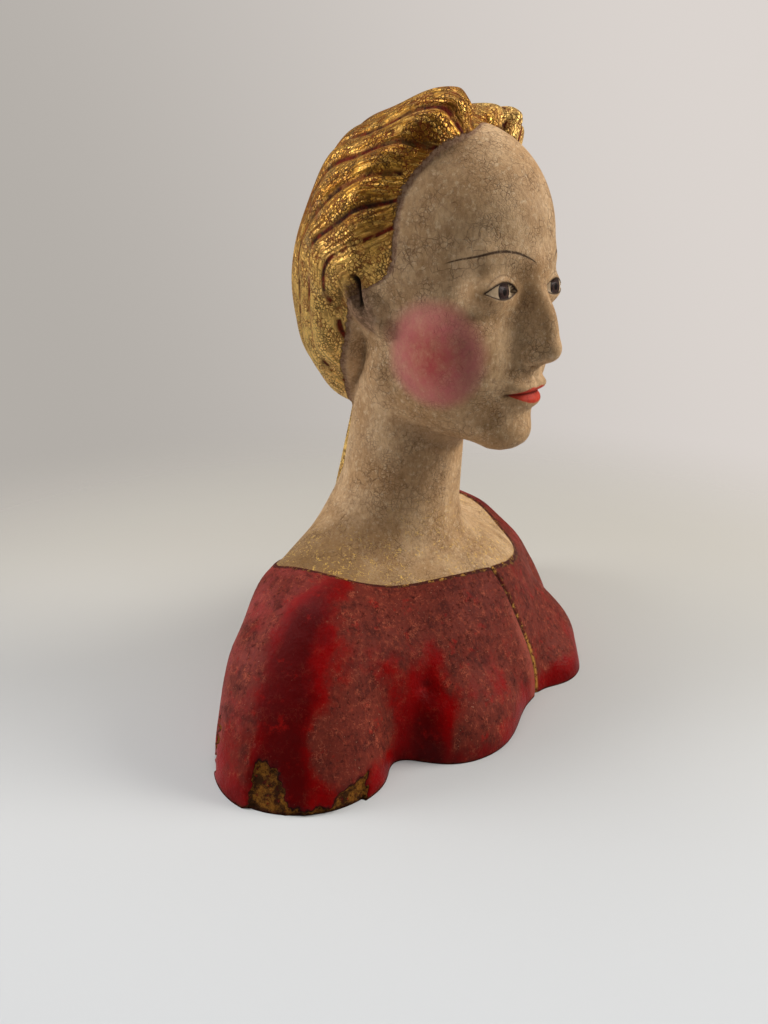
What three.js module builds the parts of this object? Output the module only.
// A painted and gilded bust of a lady, cut flat below the chest: head, hair, neck, shoulders and dress in one.
// The form is a distance field of blended ellipsoids, and a cage of three profiles is pressed onto it.
// Millimetres, +Z up. The face looks along -Y and the sitter's right arm is at -X.
import * as THREE from "three";
import { ParametricGeometry } from "three/addons/geometries/ParametricGeometry.js";

// Driving dimensions
const EYE_HEIGHT = 285;
const HEAD_BACK = -3;
const HEAD_TURN = 8 * (Math.PI / 180);
const TURN_AXIS = 10;
const NECK_TURN_START = 150;
const NECK_TURN_END = 200;
const SKULL = [69, 80, 76];
const HAIR_CAP = [76, 80, 83];
const HAIR_SOFT = 9;
const HAIR_FULL = 3.2;
const NAPE_FULL = 2;
const CROWN_FULL = 2.8;
const FAR_ROLL_LOWER = 9;
const LOCK_COUNT = 7.7;
const LOCK_HEIGHT = 4.6;
const LOCK_CLIMB = 0.6;
const LOCK_WAVE = 0.16;
const PARTING_DEPTH = 13;
const PARTING_WIDTH = 7;
const PARTING_WIDER = 12;
const NECK_FOOT_RADIUS = 46;
const NECK_TOP_RADIUS = 39;
const CHEST = [136, 99, 114];
const BACK = [126, 69, 108];
const ARM_REACH = 143;
const ARM = [60, 57, 98];
const ARM_IN = 0.33;
const ARM_LEAN = 0.17;
const FAR_ARM_IN = 4;
const FAR_ARM_BACK = 8;
const NECKLINE_HALF_WIDTH = 99;
const NECKLINE_FAR_WIDER = 9;
const NECKLINE_MIDDLE = 23;
const NECKLINE_FRONT = 82;
const NECKLINE_BACK = 66;
const NECKLINE_SLANT = 0.2;
const DRESS_THICKNESS = 1.6;
const DRESS_TOP = 140;
const SLEEVE_HOLLOW = 5.5;
const SLEEVE_FULL = 4.5;
const CHEST_FLAT = 5.5;
const PLACKET_DEPTH = 2.4;
const PLACKET_WIDTH = 3.3;
const CHIP_DEPTH = 2.6;
const CHIP_WINDOW = 25;
const CHIP_RAMP = 15;
const CHIP_BAND = 4;
const CHIP_BEHIND = 34;

// Mesh fineness
const COLUMNS = 88;
const FRONT_DENSITY = 0.42;
const MARCH_STEPS = 60;
const MARCH_SHARE = 0.7;
const HALVINGS = 24;

// The cage from the foot to the crown: front (y, z), side (x, y, z), back (y, z) and rows to the next level
const LEVELS = [
  { front: [-101, 0], side: [197, 8, 0], back: [99, 0], rows: 2 },
  { front: [-101, 25], side: [197, 8, 35], back: [99, 30], rows: 2 },
  { front: [-92, 55], side: [190, 10, 75], back: [94, 65], rows: 2 },
  { front: [-78, 75], side: [168, 12, 104], back: [85, 95], rows: 2 },
  { front: [-63, 92], side: [125, 14, 118], back: [74, 118], rows: 2 },
  { front: [-45, 112], side: [78, 14, 130], back: [62, 140], rows: 2 },
  { front: [-34, 140], side: [50, 13, 150], back: [55, 160], rows: 2 },
  { front: [-31, 163], side: [42, 11, 172], back: [53, 182], rows: 2 },
  { front: [-37, 179], side: [43, 8, 190], back: [54, 196], rows: 2 },
  { front: [-58, 184], side: [50, 4, 200], back: [62, 206], rows: 2 },
  { front: [-80, 191], side: [58, 2, 215], back: [76, 222], rows: 6 },
  { front: [-88, 225], side: [66, 0, 240], back: [85, 250], rows: 6 },
  { front: [-92, 255], side: [72, 0, 265], back: [90, 280], rows: 6 },
  { front: [-88, 290], side: [76, 0, 292], back: [88, 305], rows: 4 },
  { front: [-88, 325], side: [77, -2, 322], back: [80, 332], rows: 4 },
  { front: [-76, 358], side: [66, -4, 352], back: [64, 358], rows: 3 },
  { front: [-60, 382], side: [46, -8, 378], back: [40, 380], rows: 3 },
  { front: [-42, 396], side: [24, -14, 393], back: [8, 394], rows: 2 },
  { front: [-20, 400], side: [0, -20, 400], back: [-20, 400], rows: 0 },
];
const TOP = LEVELS.length - 1;

const clamp = (value, low, high) => Math.min(Math.max(value, low), high);

// 0 before start, 1 after end, and a smooth S between them
function ease(value, start, end) {
  const t = clamp((value - start) / (end - start), 0, 1);
  return t * t * (3 - 2 * t);
}

// A bell of height 1 at middle that fades over width
const bell = (value, middle, width) => Math.exp(-(((value - middle) / width) ** 2));

// Smooth union and smooth cut of two distances
function join(a, b, soft) {
  const h = Math.max(soft - Math.abs(a - b), 0) / soft;
  return Math.min(a, b) - (h * h * soft) / 4;
}
const keep = (a, b, soft) => -join(-a, -b, soft);
const carve = (a, b, soft) => keep(a, -b, soft);

// Distance from p to an ellipsoid with a centre and three radii
function egg(p, centre, radii) {
  const q = p.map((value, i) => (value - centre[i]) / radii[i]);
  const near = Math.hypot(q[0] / radii[0], q[1] / radii[1], q[2] / radii[2]);
  const k = Math.hypot(...q);
  return near < 1e-9 ? -Math.min(...radii) : (k * (k - 1)) / near;
}

// Distance from p to a round bar whose radius runs from ra at a to rb at b
function bar(p, a, b, ra, rb) {
  const d = b.map((value, i) => value - a[i]);
  const q = p.map((value, i) => value - a[i]);
  const t = clamp((q[0] * d[0] + q[1] * d[1] + q[2] * d[2]) / (d[0] ** 2 + d[1] ** 2 + d[2] ** 2), 0, 1);
  return Math.hypot(q[0] - t * d[0], q[1] - t * d[1], q[2] - t * d[2]) - (ra + t * (rb - ra));
}

// Skull, cheeks and jaw in the head's own frame, whose origin is between the eyes
function headForm(p) {
  let d = egg(p, [0, 8, 26], SKULL);
  d = join(d, egg(p, [0, -27, 28], [57, 59, 67]), 12);
  d = join(d, egg(p, [0, -24, -34], [50, 58, 64]), 14);
  d = join(d, egg(p, [34, -47, -24], [20, 24, 18]), 14);
  d = join(d, egg(p, [26, -48, -46], [24, 27, 28]), 14);
  d = join(d, bar(p, [36, 2, -54], [10, -62, -85], 13, 13), 16);
  d = join(d, egg(p, [0, -69, -88], [14, 13.5, 11.5]), 12);
  return join(d, egg(p, [0, -60, -58], [24, 25.5, 22]), 12);
}

// Brow, socket and the lids over the eyeball
function eyes(d, p) {
  let e = join(d, egg(p, [0, -76, 12], [14, 10, 9]), 10);
  e = join(e, bar(p, [10, -77, 15], [36, -67, 17], 5, 5), 14);
  e = carve(e, egg(p, [30, -103, 1], [21, 19.5, 13]), 14);
  return join(e, egg(p, [30.5, -68, -0.5], [17, 13, 11.5]), 8);
}

// Bridge, tip, wings and nostrils
function nose(d, p) {
  let n = join(d, egg(p, [0, -80, -24], [8, 18, 24]), 10);
  n = join(n, bar(p, [0, -78, 8], [0, -94, -32], 4.2, 5.4), 9);
  n = join(n, egg(p, [0, -94, -35], [6.2, 7.6, 6.4]), 5);
  n = join(n, egg(p, [7.8, -87, -38], [5, 7, 5.2]), 4);
  return carve(n, egg(p, [4.6, -90, -44.5], [2.4, 4.2, 3.2]), 2);
}

// Closed lips with a quiet line between them
function mouth(d, p) {
  let m = join(d, egg(p, [5.5, -80.5, -57], [14, 7.8, 4.7]), 4);
  m = join(m, egg(p, [0, -80, -66.5], [14, 7.8, 5.2]), 4);
  m += 0.8 * bell(p[0], 0, 3) * bell(p[2], -50, 5);
  const line = 1.5 * bell(p[2], -61.6, 1.5) * ease(25 - p[0], 0, 6);
  return p[1] < -55 ? m + line : m;
}

// The ear's rim, lobe, bowl and the small flap before it, half under the hair
function ear(d, p) {
  const up = p[2] + 5;
  const q = [p[0] - 0.4 * up, p[1] - 0.22 * up, p[2]];
  let e = egg(q, [61, 5, -5], [8, 10, 19]);
  e = join(e, egg(q, [62, -3, -22], [5, 6, 7]), 4);
  e = carve(e, egg(q, [68, 1, -3], [9, 4, 10]), 2.5);
  e = join(e, egg(q, [61, -6, -9], [5, 5, 7]), 4);
  return join(d, e, 6);
}

// How far forward the hair reaches: over the brow, back at the parting, before the ear, then behind it
function hairline(x, z) {
  const high = Math.max(z - 50, 0);
  const edge = -14 - 0.22 * Math.max(z, 0) - 0.012 * high * high;
  const parting = 16 * bell(x, 0, 16) * ease(z, 60, 90);
  return edge + parting + 30 * ease(-z, -12, 14) + 0.6 * Math.max(-26 - z, 0);
}

// How far round from the ear's axis towards the parting a point lies: 0 at the ear, 1 at the parting
function earTilt(p) {
  return Math.atan2(Math.hypot(p[1] - 8, p[2] - 4), p[0]) / (Math.PI / 2);
}

// The value where it is positive and almost 0 where it is negative, with a bend 6 mm wide
const softly = (value) => (value + Math.hypot(value, 6)) / 2;

// Locks climb to the forehead, ring the ear behind and hang below it; 0 in a groove and 1 on a crest
function locks(p) {
  const ahead = softly(8 - p[1]);
  const above = softly(p[2] - 4 - LOCK_CLIMB * ahead);
  const below = softly(4 - p[2]);
  const back = p[1] > 8 ? p[1] - 8 : 0.1 * (p[1] - 8);
  const reach = Math.hypot(back, above, 0.2 * below);
  const tilt = Math.atan2(reach, p[0] + 0.8 * below) / (Math.PI / 2);
  const turn = Math.atan2(p[2] - 4, p[1] - 8);
  const wave = LOCK_WAVE * Math.sin(5 * turn + 7 * tilt) * ease(tilt, 0.1, 0.4);
  return (Math.sin(Math.PI * (LOCK_COUNT * tilt + wave)) ** 2 + 0.015) ** 0.25;
}

// The combed hair: cap, nape, front rolls beside the parting, and locks; it thins out at the hairline
function hair(p, across) {
  const lean = [p[0], p[1] + 0.25 * (p[2] - 28), p[2]];
  let h = egg(lean, [0, 1, 28], HAIR_CAP);
  h = join(h, egg(p, [0, 30, -8], [59, 65, 74]), 18);
  h = join(h, egg(p, [0, 42, -66], [28, 24, 31]), 14);
  h = join(h, egg(p, [25, -29, 80], [26, 25, 26]), 12);
  const behind = p[1] - hairline(p[0], p[2]);
  const full = NAPE_FULL * ease(-p[2], 10, 50) + CROWN_FULL * ease(p[2], 45, 80);
  h -= HAIR_FULL * ease(p[1], 0, 40) + ease(p[1], 5, 38) * full;
  h += FAR_ROLL_LOWER * bell(across, 13, 11) * ease(-p[1], 5, 30) * ease(p[2], 55, 80);
  const opening = PARTING_WIDTH + PARTING_WIDER * ease(-p[1], 32, 46);
  h += PARTING_DEPTH * bell(p[0], 0, opening) * ease(-p[1], -20, 30) * ease(p[2], 40, 70);
  const tilt = earTilt(p);
  const flat = (1 - 0.55 * ease(p[1], 15, 55)) * ease(tilt, 0.14, 0.36) * ease(1 - tilt, 0.01, 0.1);
  h -= LOCK_HEIGHT * flat * ease(behind, -2, 14) * (locks(p) - 0.6);
  return h + HAIR_SOFT * (1 - ease(behind, -3, 24)) + 1.1 * Math.max(-behind, 0);
}

// The thin tail that hangs from the nape down the back of the neck
function tail(p) {
  return bar(p, [0, 50, 198], [0, 76, 118], 7, 3);
}

// Turns x and y about the neck's axis
function turned(x, y, angle) {
  const c = Math.cos(angle);
  const s = Math.sin(angle);
  const q = y - TURN_AXIS;
  return [x * c + q * s, q * c - x * s + TURN_AXIS];
}

// Face and hair, carried on a head turned a little to the sitter's right
function head(x, y, z) {
  const [across, along] = turned(x, y, -HEAD_TURN);
  const p = [Math.abs(across), along - HEAD_BACK, z - EYE_HEIGHT];
  return [ear(mouth(nose(eyes(headForm(p), p), p), p), p), hair(p, across)];
}

// Chest, back, arms and the slope from the neck to the shoulders; p is mirrored to one side, x is not
function torso(p, x) {
  const far = x > 0 ? 1 : 0;
  const lean = [p[0] + ARM_IN * p[2] + FAR_ARM_IN * far, p[1] - ARM_LEAN * p[2] - FAR_ARM_BACK * far, p[2]];
  let t = egg(p, [0, 0, 0], CHEST);
  t = join(t, egg(p, [60, -56, 0], [52, 48, 48]), 14);
  t = join(t, egg([x, p[1], p[2]], [42, -70, -8], [41, 46, 42]), 10);
  t = join(t, egg(p, [0, 30, 12], BACK), 20);
  t = join(t, egg(lean, [ARM_REACH, 0, 0], ARM), 14 + 26 * ease(p[2], 10, 70));
  return join(t, bar(p, [0, 36, 114], [92, 43, 79], 32, 25), 22);
}

// Roughly the distance from the neckline, positive on the dress; on the steep back the height counts too
function dressSide(x, y, z) {
  const q = y + NECKLINE_SLANT * x - NECKLINE_MIDDLE;
  const down = 0.6 * Math.max(120 - z, 0) * ease(q, 0, 30);
  const along = q < 0 ? q / NECKLINE_FRONT : (q + down) / NECKLINE_BACK;
  const halfWidth = NECKLINE_HALF_WIDTH + NECKLINE_FAR_WIDER * ease(x, 0, 80) * ease(q, -40, 10);
  return (Math.hypot((x + 3) / halfWidth, along) - 1) * 75;
}

// The angle forward from the sideways axis in degrees: 0 at the arm and 90 at the placket
const wayRound = (x, y) => (Math.atan2(-y, Math.abs(x)) * 180) / Math.PI;

// Hollows in the sleeves, the flat of the chest, the valleys, the near dimple and the placket, less a fuller arm
function drapery(x, y, z) {
  const a = Math.abs(x);
  const middle = 7.5 - 0.09 * z;
  const sleeve = SLEEVE_HOLLOW * bell(wayRound(x, y), middle, 7) * ease(z, -12, 26) * ease(100 - z, 0, 36);
  const chest = CHEST_FLAT * bell(x, 35, 62) * bell(z, 56, 27) * ease(-y, 30, 60);
  const valley = 4 * bell(a, 124, 14) * ease(-y, 20, 50) * ease(90 - z, 0, 50);
  const dimple = 2.5 * bell(x, -95, 7) * bell(z, 44, 9) * ease(-y, 40, 60);
  const placket = PLACKET_DEPTH * bell(x, 0, PLACKET_WIDTH / 2) * ease(-y, 50, 62);
  const full = SLEEVE_FULL * bell(wayRound(x, y), -22, 14) * bell(z, 62, 24);
  return sleeve + chest + valley + dimple + placket - full;
}

// How high the paint has broken away at each angle round the near arm: a window, a ramp, a band, one behind
function chipHeight(around, z) {
  const place = around + 0.5 * Math.sin(0.8 * z + 1) + 0.35 * Math.sin(2.1 * z + 2 * around);
  const lean = place + 0.11 * z - 2.1;
  const window = CHIP_WINDOW * ease(lean, -1.4, -0.4) * ease(6 - lean, 0, 2.5);
  const ramp = CHIP_RAMP * ease(place, 10.5, 18.5) * ease(19.6 - place, 0, 0.8);
  const band = CHIP_BAND * ease(place, 0, 1) * ease(19.5 - place, 0, 1);
  const behind = CHIP_BEHIND * ease(place, -15, -13.6) * ease(-10.6 - place, 0, 1.4);
  const tall = Math.max(window, ramp, band, behind);
  return tall + ease(tall, 0, 3) * (1.2 * Math.sin(1.7 * around) + 0.8 * Math.sin(4.3 * around + 1));
}

// Depth of the broken places, which ends softly over 3 mm below their height
function chips(x, y, z) {
  return x < -100 ? CHIP_DEPTH * ease(chipHeight(wayRound(x, y), z) - z, 0, 3) : 0;
}

// Distance from a point to the bust's surface, negative inside
function bust(x, y, z) {
  const [face, hairDistance] = head(x, y, z);
  const p = [Math.abs(x), y, z];
  const neck = bar([x, y, z], [0, 20, 112], [0, 8, 215], NECK_FOOT_RADIUS, NECK_TOP_RADIUS);
  let skin = join(join(face, neck, 14), torso(p, x), 24);
  const cloth = z < DRESS_TOP ? ease(dressSide(x, y, z), -2.2, 2.2) : 0;
  skin += cloth * (drapery(x, y, z) + chips(x, y, z) - DRESS_THICKNESS);
  return join(join(skin, hairDistance, 3), tail([x, y, z]), 4);
}

// A smooth curve through four neighbouring values
function through(a, b, c, d, t) {
  const cubic = 3 * (b - c) + d - a;
  return b + 0.5 * t * (c - a + t * (2 * a - 5 * b + 4 * c - d + t * cubic));
}

// The cage's profiles at a level between two of its stations
function profile(level, key, axis) {
  const i = Math.min(Math.floor(level), TOP - 1);
  const at = (k) => LEVELS[clamp(k, 0, TOP)][key][axis];
  return through(at(i - 1), at(i), at(i + 1), at(i + 2), level - i);
}

// A point of the cage: quarter ellipses joined between the front, side and back profiles
function cagePoint(angle, level) {
  const c = Math.cos(angle);
  const s = Math.sin(angle);
  const end = s < 0 ? "front" : "back";
  const sideY = profile(level, "side", 1);
  const z = profile(level, "side", 2) * c * c + profile(level, end, 1) * s * s;
  const y = sideY + (profile(level, end, 0) - sideY) * Math.abs(s);
  const turn = HEAD_TURN * ease(z, NECK_TURN_START, NECK_TURN_END);
  return new THREE.Vector3(...turned(profile(level, "side", 0) * c, y, turn), z);
}

// The way out from the cage, which turns straight up over the crown
function cageNormal(angle, level) {
  const step = 0.02;
  const round = cagePoint(angle + step, level).sub(cagePoint(angle - step, level));
  const low = Math.max(level - step, 0);
  const high = Math.min(level + step, TOP - 1e-4);
  const up = cagePoint(angle, high).sub(cagePoint(angle, low));
  const out = round.cross(up).normalize();
  return out.lerp(new THREE.Vector3(0, 0, 1), ease(level, TOP - 3.5, TOP - 1)).normalize();
}

// Moves a cage point along its normal onto the sculpted surface
function press(start, normal) {
  const field = (t) => bust(start.x + t * normal.x, start.y + t * normal.y, start.z + t * normal.z);
  let value = field(0);
  const outside = value > 0;
  let near = 0;
  let far = 0;
  for (let i = 0; i < MARCH_STEPS && value > 0 === outside; i++) {
    near = far;
    far -= Math.sign(value) * Math.max(Math.abs(value) * MARCH_SHARE, 0.25);
    value = field(far);
  }
  for (let i = 0; i < HALVINGS; i++) {
    const middle = (near + far) / 2;
    if (field(middle) > 0 === outside) near = middle;
    else far = middle;
  }
  return start.clone().addScaledVector(normal, (near + far) / 2);
}

const ROW_LEVELS = LEVELS.flatMap(({ rows }, i) => Array.from({ length: rows }, (_, k) => i + k / rows));

// Columns start at the back of the head and crowd towards the face
function columnAngle(u) {
  return Math.PI / 2 + 2 * Math.PI * (u + (FRONT_DENSITY * Math.sin(2 * Math.PI * u)) / (2 * Math.PI));
}

// The surface on (u, v): the underside's middle, its edge, the pressed rows and the crown
function surface(u, v, target) {
  const row = Math.round(v * (ROW_LEVELS.length + 1));
  if (row === 0) return target.set(0, 0, 0);
  const level = row > ROW_LEVELS.length ? TOP : ROW_LEVELS[row - 1];
  const angle = columnAngle(u === 1 ? 0 : u);
  const start = cagePoint(angle, level);
  const normal = level === TOP ? new THREE.Vector3(0, 0, 1) : cageNormal(angle, level);
  if (row === 1) normal.setZ(0).normalize();
  return target.copy(press(start, normal));
}

function bustMesh() {
  const geometry = new ParametricGeometry(surface, COLUMNS, ROW_LEVELS.length + 1);
  geometry.computeBoundingBox();
  const { min, max } = geometry.boundingBox;
  geometry.translate(-(min.x + max.x) / 2, -(min.y + max.y) / 2, -min.z);
  const finish = new THREE.MeshStandardMaterial({ color: 0x8f2a22, roughness: 0.55, metalness: 0 });
  const mesh = new THREE.Mesh(geometry, finish);
  mesh.name = "bust";
  return mesh;
}

const group = new THREE.Group();
group.add(bustMesh());

export default group;
